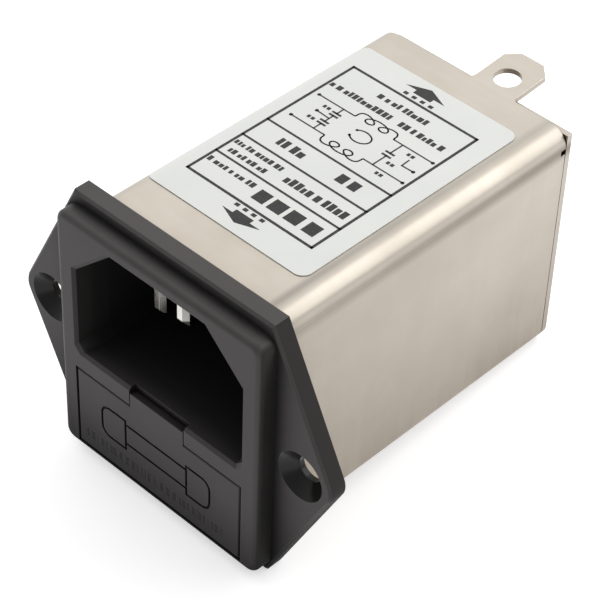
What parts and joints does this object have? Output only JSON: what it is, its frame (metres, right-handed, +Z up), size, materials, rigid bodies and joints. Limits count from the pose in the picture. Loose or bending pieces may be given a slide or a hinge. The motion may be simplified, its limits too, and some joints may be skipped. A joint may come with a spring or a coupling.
{
  "type": "mains line filter",
  "caption": "Mains line filter in a plated can, with a flanged appliance inlet, a pull-out fuse drawer, a rear earth lug and flat output blades.",
  "frame": {"origin": "midway between the two screw holes, on the back face of the flange", "axes": "+X to the right seen from the front, +Y from the front into the panel, +Z up, with the earth pin uppermost"},
  "size_m": [0.049, 0.06, 0.0376],
  "materials": {
    "black_moulding": "black thermoplastic with a light sheen",
    "can_nickel": "steel sheet, satin nickel plate",
    "nickel": "brass with bright nickel plate",
    "label_film": "white printed polyester film",
    "fuse_glass": "clear glass",
    "copper_wire": "enamelled copper",
    "spring_brass": "tinned brass strip",
    "card": "glass-fibre card",
    "ferrite": "sintered ferrite",
    "case_moulding": "nylon, as moulded",
    "capacitor_case": "yellow box moulding",
    "disc_capacitor": "blue dipped ceramic",
    "resistor_body": "coated ceramic",
    "liner_card": "pressed insulating card",
    "lead_cover": "soft sleeving"
  },
  "bodies": {
    "filter": {"inlet_housing": "black_moulding", "fuse_contact_left": "spring_brass", "fuse_contact_right": "spring_brass", "line_pin": "nickel", "neutral_pin": "nickel", "earth_pin": "nickel", "can_body": "can_nickel", "can_cover": "can_nickel", "rear_plate": "can_nickel", "label": "label_film", "inner_board": "card", "choke_core": "ferrite", "choke_case": "case_moulding", "choke_winding_line": "copper_wire", "choke_winding_neutral": "copper_wire", "choke_divider": "case_moulding", "x_capacitor": "capacitor_case", "y_capacitor_line": "disc_capacitor", "y_capacitor_neutral": "disc_capacitor", "bleeder_resistor": "resistor_body", "earth_strap": "spring_brass", "insulation_liner": "liner_card", "terminal_block": "black_moulding", "load_tab_line": "spring_brass", "load_tab_neutral": "spring_brass", "lead_line": "lead_cover", "lead_neutral": "lead_cover"},
    "drawer": {"fuse_drawer": "black_moulding", "fuse_tube": "fuse_glass", "fuse_cap_left": "nickel", "fuse_cap_right": "nickel", "fuse_wire": "copper_wire"}
  },
  "joints": [
    {"name": "drawer_slide", "type": "slide", "parent": "filter", "child": "drawer", "axis": [0, -1, 0], "range_m": [0, 0.02]}
  ]
}
